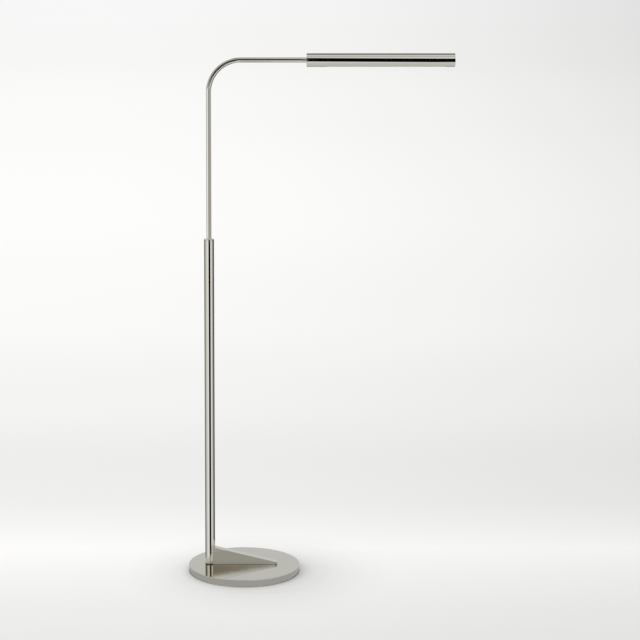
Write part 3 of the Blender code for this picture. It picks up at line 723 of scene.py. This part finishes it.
class LightNodes:
    """Short calls that add nodes to the world's shader and to the floor's."""

    def __init__(self, tree):
        self.tree = tree

    def math(self, operation, *values):
        """A Math node: numbers are set on it, sockets are linked to it."""
        made = self.tree.nodes.new("ShaderNodeMath")
        made.operation = operation
        for socket, value in zip(made.inputs, values):
            if isinstance(value, (int, float)):
                socket.default_value = value
            else:
                self.tree.links.new(value, socket)
        return made.outputs["Value"]

    def step(self, value, low, high):
        """Smooth step from 0 to 1 between two values."""
        made = self.tree.nodes.new("ShaderNodeMapRange")
        made.interpolation_type = "SMOOTHSTEP"
        made.inputs["From Min"].default_value = low
        made.inputs["From Max"].default_value = high
        self.tree.links.new(value, made.inputs["Value"])
        return made.outputs["Result"]

    def window(self, value, low, high, soft):
        """1 between two values, with soft edges."""
        rise = self.step(value, low - soft, low + soft)
        fall = self.step(value, high - soft, high + soft)
        return self.math("SUBTRACT", rise, fall)

    def leaning_step(self, height, compass, lean, edge):
        """Step up at a height that falls by the lean for each degree of compass."""
        leaning = self.math("ADD", height, self.math("MULTIPLY", compass, lean))
        return self.step(leaning, edge - LEAN_SOFT, edge + LEAN_SOFT)

    def curve(self, value, low, high, stops):
        """Brightness that follows an angle or a distance, through (place, brightness) stops."""
        share = self.math("DIVIDE", self.math("SUBTRACT", value, low), high - low)
        ramp = self.tree.nodes.new("ShaderNodeValToRGB")
        ramp.color_ramp.interpolation = "EASE"
        elements = ramp.color_ramp.elements
        while len(elements) > 1:
            elements.remove(elements[-1])
        for index, (stop, brightness) in enumerate(stops):
            place = (stop - low) / (high - low)
            element = elements[0] if index == 0 else elements.new(place)
            element.position = place
            element.color = (brightness, brightness, brightness, 1.0)
        self.tree.links.new(share, ramp.inputs["Fac"])
        return ramp.outputs["Color"]

    def fall(self, side):
        """Share of the light left towards the sides of the studio."""
        slope = self.math("MULTIPLY", side, SIDE_SLOPE)
        curve = self.math("MULTIPLY", self.math("MULTIPLY", side, side), SIDE_CURVE)
        left = self.math("SUBTRACT", 1.0, self.math("ADD", slope, curve))
        return self.math("MAXIMUM", left, LEAST_SIDE)

    def both(self, first, second):
        """Product of two shares, such as where two windows overlap."""
        return self.math("MULTIPLY", first, second)

    def tint(self, share, first, second):
        """Blend of two colours; the first may be a socket."""
        made = self.tree.nodes.new("ShaderNodeMix")
        made.data_type = "RGBA"
        if isinstance(first, tuple):
            made.inputs["A"].default_value = first
        else:
            self.tree.links.new(first, made.inputs["A"])
        made.inputs["B"].default_value = second
        self.tree.links.new(share, made.inputs["Factor"])
        return made.outputs["Result"]

    def mix(self, share, first, second):
        """Blend of two brightnesses."""
        keep = self.math("MULTIPLY", first, self.math("SUBTRACT", 1.0, share))
        return self.math("ADD", keep, self.math("MULTIPLY", second, share))


# The studio's brightness for gloss. Compass angles run from the front, positive to the viewer's right.
# LOW is for the heights that the pole mirrors, UPPER for the arm's upright and HIGH for the top of the
# base, each as (compass angle, brightness). All other places are in degrees too.
LOW_STOPS = [
    (-180, 0.12), (-150, 0.13), (-116, 0.27), (-97, 0.50), (-79, 0.78), (-52, 0.94), (-30, 1.08),
    (34, 1.10), (48, 1.02), (70, 0.76), (87, 0.42), (103, 0.20), (128, 0.08), (152, 0.06), (180, 0.08),
]
UPPER_STOPS = [
    (-180, 0.30), (-115, 0.45), (-92, 1.00), (-80, 1.25), (-42, 1.25), (-30, 0.52), (60, 0.50),
    (129, 0.55), (145, 0.40), (180, 0.40),
]
HIGH_STOPS = [
    (-180, 0.69), (-177, 0.69), (-173, 0.76), (-150, 0.80), (-110, 0.60), (-70, 0.84), (-30, 1.0),
    (30, 1.0), (66, 0.84), (104, 0.55), (150, 0.80), (173, 0.76), (177, 0.69), (180, 0.69),
]
# STEEP goes over the top from the front horizon (0) by straight up (90) to the back horizon (180).
STEEP_STOPS = [
    (-180, 0.30), (-150, 0.45), (-130, 0.58), (-104, 0.72), (-56, 0.74), (-38, 0.92), (-28, 0.70),
    (-21, 0.43), (21, 0.90), (48, 0.90), (66, 0.60), (86, 0.93), (100, 0.60), (110, 0.18), (136, 0.12),
    (145, 0.60), (154, 1.25), (180, 1.35),
]
STEEP_FROM = (22.0, 34.0)
STEEP_SIDES = (-0.22, 0.22, 0.03)  # sideways part of the direction, and its softness
# FAN is the same by the angle from the front, for what the arm's level part and its bend mirror.
FAN_STOPS = [
    (-180, 1.20), (-134, 1.20), (-122, 0.50), (-100, 0.36), (-64, 0.36), (-54, 0.84), (-8, 0.90),
    (10, 0.74), (42, 0.70), (52, 0.60), (96, 0.60), (110, 0.30), (150, 0.30), (180, 0.40),
]
FAN_SLICE = (-1.0, 1.77)  # compass angles for the level part
FAN_SIDES = (-88.0, 1.9)  # and for the bend, above the horizon
CARD_SIDES = (-12.5, 31.5)  # the dark camera side of the studio
CARD_FOOT = -17.70
CARD_HEAD = -6.98
CARD_BRIGHTNESS = 0.003
# How soft the edges of the bands and cards are, in degrees to each side
CRISP = 0.01
SHARP = 0.02
CLEAN = 0.03
FIN_SOFT = 0.15
SHOULDER_SOFT = 0.1
LEAN_SOFT = 0.3
CARD_SOFT = 1.0
BEND_SOFT = 1.5
AROUND_SOFT = 2.0
UPPER_TO_HIGH = (0.0, 8.0)  # heights over which UPPER turns into HIGH
BEND_FROM = (1.5, 5.0)  # heights over which FAN comes in for the bend
AROUND = (-165.0, 165.0)  # the narrow bands leave out the back, which the disc's top mirrors
CIRCLE = (-180.0, 180.0)
SHADE_CARD_SIDES = (1.77, 7.4)  # a dark card for the shade, with its two edges leaning
SHADE_CARD_FOOT = (2.2, -19.2)  # the lean for each degree of compass, and the edge at 0
SHADE_CARD_HEAD = (2.0, 39.4)
LOW_CARD_FOOT = -34.0  # the dark card goes on down to here, beside what the arm and the shade mirror
LOW_CARD_GAP = (-1.0, 7.4)
RIM_BRIGHTNESS = 0.48  # the floor close to the disc, as its rim mirrors it
BOUNCE = (16.2, 17.372)  # heights of the light that reaches the pole's foot by way of the disc
BOUNCE_BRIGHTNESS = 1.0
BOUNCE_ON_FIN = 0.62
BOUNCE_CARD = (16.2, 17.13)  # where the dark card still shows in it
CREASE = (17.372, 17.43)  # and of the light that reaches the corner between them
CREASE_STOPS = [(-180, 0.22), (-30, 0.30), (20, 0.26), (45, 0.05), (180, 0.05)]
MIRRORED = (17.43, 18.6)  # heights of the light in the mirror image under the pole and the fin
MIRRORED_STOPS = [
    (-180, 0.16), (-104, 0.18), (-84, 0.28), (-66, 0.62), (-50, 0.84), (-30, 0.98), (30, 0.94),
    (50, 0.82), (66, 0.80), (80, 0.42), (96, 0.18), (112, 0.04), (180, 0.04),
]
MIRRORED_ON_FIN = 0.31
MIRRORED_FIN_HEAD = 17.64  # the dark light on the fin ends at a sloping line
MIRRORED_FIN_SLOPE = 0.162
MIRRORED_BRIGHT = 1.06  # beyond that line
MIRRORED_TINT = (1.06, 0.97, 0.84, 1.0)
BRIGHT_TINT = (0.97, 0.99, 1.10, 1.0)
FIN_SIDES = (-1.7, 1.05)  # compass angles that the fin's near face mirrors
FIN_SHOULDER = (CARD_FOOT, -16.75)  # heights that its tall end sees past the disc's rim
FIN_SHOULDER_SIDES = (-1.7, -0.45)
RIM_CARD_GAP = 5.0 * MM
RIM_CARD_DROP = 0.30  # how fast the card's top falls with the gap, so that only the rim sees it
ARM_CARD_AWAY = 1.5  # metres in front of the arm
ARM_CARD_SPAN = (-4.5, 46.0)  # angles from the front that the arm sees it at
ARM_CARD_LEFT = 5.0  # how far above level its left edge starts, in degrees
ARM_CARD_END = 0.203
CAMERA_BACKDROP = 0.917
PLAIN_BACKDROP = 0.885
LEAST_DEPTH = 0.05
FLOOR_LIGHT = 1.0


def make_gloss_light(kit, x, compass, height, roll, turn):
    """What polished faces see: light walls, dark cards and the bands of light that graze the base."""
    below = kit.curve(compass, *CIRCLE, LOW_STOPS)
    upper = kit.curve(compass, *CIRCLE, UPPER_STOPS)
    above = kit.curve(compass, *CIRCLE, HIGH_STOPS)
    steep = kit.curve(roll, *CIRCLE, STEEP_STOPS)
    fan = kit.curve(turn, *CIRCLE, FAN_STOPS)
    level = kit.mix(kit.step(height, CARD_HEAD - SHARP, CARD_HEAD + SHARP), below, upper)
    level = kit.mix(kit.step(height, *UPPER_TO_HIGH), level, above)
    overhead = kit.both(kit.step(kit.math("ABSOLUTE", height), *STEEP_FROM), kit.window(x, *STEEP_SIDES))
    light = kit.mix(overhead, level, steep)
    bend = kit.both(kit.window(compass, *FAN_SIDES, BEND_SOFT), kit.step(height, *BEND_FROM))
    light = kit.mix(kit.math("MAXIMUM", bend, kit.window(compass, *FAN_SLICE, CLEAN)), light, fan)
    light = add_dark_cards(kit, light, compass, height)
    fin = kit.window(compass, *FIN_SIDES, FIN_SOFT)
    past_rim = kit.window(compass, *FIN_SHOULDER_SIDES, SHOULDER_SOFT)
    shoulder = kit.both(past_rim, kit.window(height, *FIN_SHOULDER, SHARP))
    light = kit.mix(shoulder, light, RIM_BRIGHTNESS)
    return add_foot_bands(kit, light, compass, height, fin)


def add_dark_cards(kit, light, compass, height):
    """The dark cards for the pole and the shade, laid over the light."""
    card_sides = kit.window(compass, *CARD_SIDES, CARD_SOFT)
    card_foot = kit.leaning_step(height, compass, *SHADE_CARD_FOOT)
    card_head = kit.leaning_step(height, compass, *SHADE_CARD_HEAD)
    shade_heights = kit.math("SUBTRACT", card_foot, card_head)
    shade_card = kit.both(kit.window(compass, *SHADE_CARD_SIDES, CLEAN), shade_heights)
    pole_card = kit.both(card_sides, kit.window(height, CARD_FOOT, CARD_HEAD, SHARP))
    light = kit.mix(kit.math("MAXIMUM", shade_card, pole_card), light, CARD_BRIGHTNESS)
    beside = kit.math("SUBTRACT", card_sides, kit.window(compass, *LOW_CARD_GAP, CLEAN))
    low_card = kit.both(beside, kit.window(height, LOW_CARD_FOOT, CARD_FOOT, SHARP))
    return kit.mix(low_card, light, CARD_BRIGHTNESS)


def add_foot_bands(kit, light, compass, height, fin):
    """The narrow bands for the pole's foot, the fin and their mirror image in the disc."""
    around = kit.window(compass, *AROUND, AROUND_SOFT)
    clear = kit.math("SUBTRACT", around, kit.window(compass, *SHADE_CARD_SIDES, CLEAN))
    dark_side = kit.window(compass, *CARD_SIDES, CARD_SOFT)
    bounce_card = kit.both(dark_side, kit.window(height, *BOUNCE_CARD, CRISP))
    bounce = kit.mix(fin, kit.mix(bounce_card, BOUNCE_BRIGHTNESS, CARD_BRIGHTNESS), BOUNCE_ON_FIN)
    light = kit.mix(kit.both(clear, kit.window(height, *BOUNCE, CRISP)), light, bounce)
    crease = kit.mix(fin, kit.curve(compass, *CIRCLE, CREASE_STOPS), BOUNCE_ON_FIN)
    light = kit.mix(kit.both(clear, kit.window(height, *CREASE, CRISP)), light, crease)
    shaded = kit.mix(dark_side, kit.curve(compass, *CIRCLE, MIRRORED_STOPS), CARD_BRIGHTNESS)
    slanted = kit.math("ADD", height, kit.math("MULTIPLY", compass, MIRRORED_FIN_SLOPE))
    past_head = kit.step(slanted, MIRRORED_FIN_HEAD - SHARP, MIRRORED_FIN_HEAD + SHARP)
    mirrored = kit.mix(fin, shaded, kit.mix(past_head, MIRRORED_ON_FIN, MIRRORED_BRIGHT))
    mirror_band = kit.both(around, kit.window(height, *MIRRORED, SHARP))
    bright_band = kit.both(mirror_band, kit.both(fin, past_head))
    return kit.mix(mirror_band, light, mirrored), mirror_band, bright_band


WINDOW_ENERGY = 0.75
WINDOW_ANGLE = 46.0
WINDOW_TRAVEL = (0.80, 0.30, -0.52)
SENSOR_WIDTH = 36.0  # of the camera, in millimetres, as is its lens
LENS = 99.84
SHIFT = 0.1094
CAMERA_X = 0.015
CAMERA_DISTANCE = 4.498
CAMERA_RISE = 1.410
CAMERA_DIP = 9.6  # degrees below level


def make_world():
    """Plain soft studio: pale backdrop, even light on matt faces, and walls and dark cards for gloss."""
    world = bpy.data.worlds.new("studio")
    bpy.context.scene.world = world
    world.use_nodes = True
    tree = world.node_tree
    tree.nodes.clear()
    kit = LightNodes(tree)
    direction = tree.nodes.new("ShaderNodeTexCoord")
    split = tree.nodes.new("ShaderNodeSeparateXYZ")
    tree.links.new(direction.outputs["Generated"], split.inputs["Vector"])
    x, y, z = (split.outputs[axis] for axis in "XYZ")
    front = kit.math("MULTIPLY", y, -1.0)
    compass = kit.math("DEGREES", kit.math("ARCTAN2", x, front))
    height = kit.math("DEGREES", kit.math("ARCSINE", z))
    roll = kit.math("DEGREES", kit.math("ARCTAN2", z, front))
    side = kit.math("SIGN", kit.math("SUBTRACT", z, x))
    turn = kit.math("MULTIPLY", kit.math("DEGREES", kit.math("ARCCOSINE", front)), side)
    gloss, mirror_band, bright_band = make_gloss_light(kit, x, compass, height, roll, turn)
    path = tree.nodes.new("ShaderNodeLightPath")
    camera_ray = path.outputs["Is Camera Ray"]
    spread = kit.math("DIVIDE", x, kit.math("MAXIMUM", y, LEAST_DEPTH))
    inside = kit.window(spread, *BAND_SIDES, BAND_SOFT)
    backdrop = kit.mix(inside, PLAIN_BACKDROP, kit.math("MULTIPLY", kit.fall(x), CAMERA_BACKDROP))
    seen = kit.mix(camera_ray, gloss, backdrop)
    seen = kit.mix(path.outputs["Is Diffuse Ray"], seen, FLOOR_LIGHT)
    glossy = path.outputs["Is Glossy Ray"]
    tinted = kit.tint(kit.both(glossy, mirror_band), (1.0, 1.0, 1.0, 1.0), MIRRORED_TINT)
    tinted = kit.tint(kit.both(glossy, bright_band), tinted, BRIGHT_TINT)
    background = tree.nodes.new("ShaderNodeBackground")
    tree.links.new(tinted, background.inputs["Color"])
    tree.links.new(seen, background.inputs["Strength"])
    output = tree.nodes.new("ShaderNodeOutputWorld")
    tree.links.new(background.outputs["Background"], output.inputs["Surface"])


def add_card(name, points, faces, brightness):
    """A studio card that only polished faces see."""
    card = add_mesh(name, points, faces)
    shader = Shader(name, (0.0, 0.0, 0.0), 1.0, Specular_IOR_Level=0.0, Emission_Strength=brightness)
    shader.principled.inputs["Emission Color"].default_value = (1.0, 1.0, 1.0, 1.0)
    card.data.materials.append(shader.material)
    card.visible_camera = False
    card.visible_diffuse = False
    card.visible_transmission = False
    card.visible_volume_scatter = False
    card.visible_shadow = False


def make_rim_card():
    """Low band close round the disc, for the even tone of the floor in its rim."""
    count = 180
    radius = DISC_RADIUS + RIM_CARD_GAP
    points = []
    for z in (0.0, DISC_TOP - RIM_CARD_GAP * RIM_CARD_DROP):
        for i in range(count):
            angle = 2 * math.pi * i / count
            points.append((radius * math.cos(angle), radius * math.sin(angle), z))
    faces = [[i, (i + 1) % count, count + (i + 1) % count, count + i] for i in range(count)]
    add_card("rim_card", points, faces, RIM_BRIGHTNESS)


def make_arm_card():
    """Dark card in front of the arm, shaped so that its reach and bend mirror it as one thin line."""
    middle_x = POLE_X + ARM_BEND
    middle_z = ARM_Z - ARM_BEND
    reach = ARM_BEND + ARM_CARD_AWAY * math.tan(math.radians(ARM_CARD_SPAN[1]))
    low = ARM_Z + ARM_CARD_AWAY * math.tan(math.radians(ARM_CARD_SPAN[0]))
    outline = [(ARM_CARD_END, low), (middle_x, low), (POLE_X, ARM_Z)]
    steps = 24
    for i in range(steps + 1):
        turn = math.radians(ARM_CARD_LEFT) + (math.pi / 2 - math.radians(ARM_CARD_LEFT)) * i / steps
        outline.append((middle_x - reach * math.cos(turn), middle_z + reach * math.sin(turn)))
    outline.append((ARM_CARD_END, middle_z + reach))
    points = [(x, -ARM_CARD_AWAY, z) for x, z in outline]
    add_card("arm_card", points, [list(range(len(points)))], 0.0)


def make_window_light():
    """Broad soft light from the left and the front, for the shadow to the right of the base."""
    light = bpy.data.lights.new("window_light", "SUN")
    light.energy = WINDOW_ENERGY
    light.angle = math.radians(WINDOW_ANGLE)
    obj = bpy.data.objects.new("window_light", light)
    bpy.context.scene.collection.objects.link(obj)
    obj.rotation_euler = Vector(WINDOW_TRAVEL).to_track_quat("-Z", "Y").to_euler()
    obj.visible_glossy = False


def make_camera():
    """Long lens a little above the shade, looking slightly down, with the lamp left of the middle."""
    data = bpy.data.cameras.new("camera")
    data.sensor_width = SENSOR_WIDTH
    data.lens = LENS
    data.shift_x = SHIFT
    obj = bpy.data.objects.new("camera", data)
    bpy.context.scene.collection.objects.link(obj)
    obj.location = (CAMERA_X, -CAMERA_DISTANCE, DISC_TOP + CAMERA_RISE)
    obj.rotation_euler = (math.radians(90 - CAMERA_DIP), 0, 0)
    bpy.context.scene.camera = obj


def main():
    """Build the looks group by group."""
    make_camera()
    dress_cad_nodes()
    make_base_disc()
    make_base_pad()
    make_base_fin()
    make_pole()
    make_cord_inlet()
    make_arm()
    make_shade()
    make_diffuser()
    make_floor()
    make_world()
    make_rim_card()
    make_arm_card()
    make_window_light()
    bpy.context.scene.view_settings.view_transform = "Standard"


main()
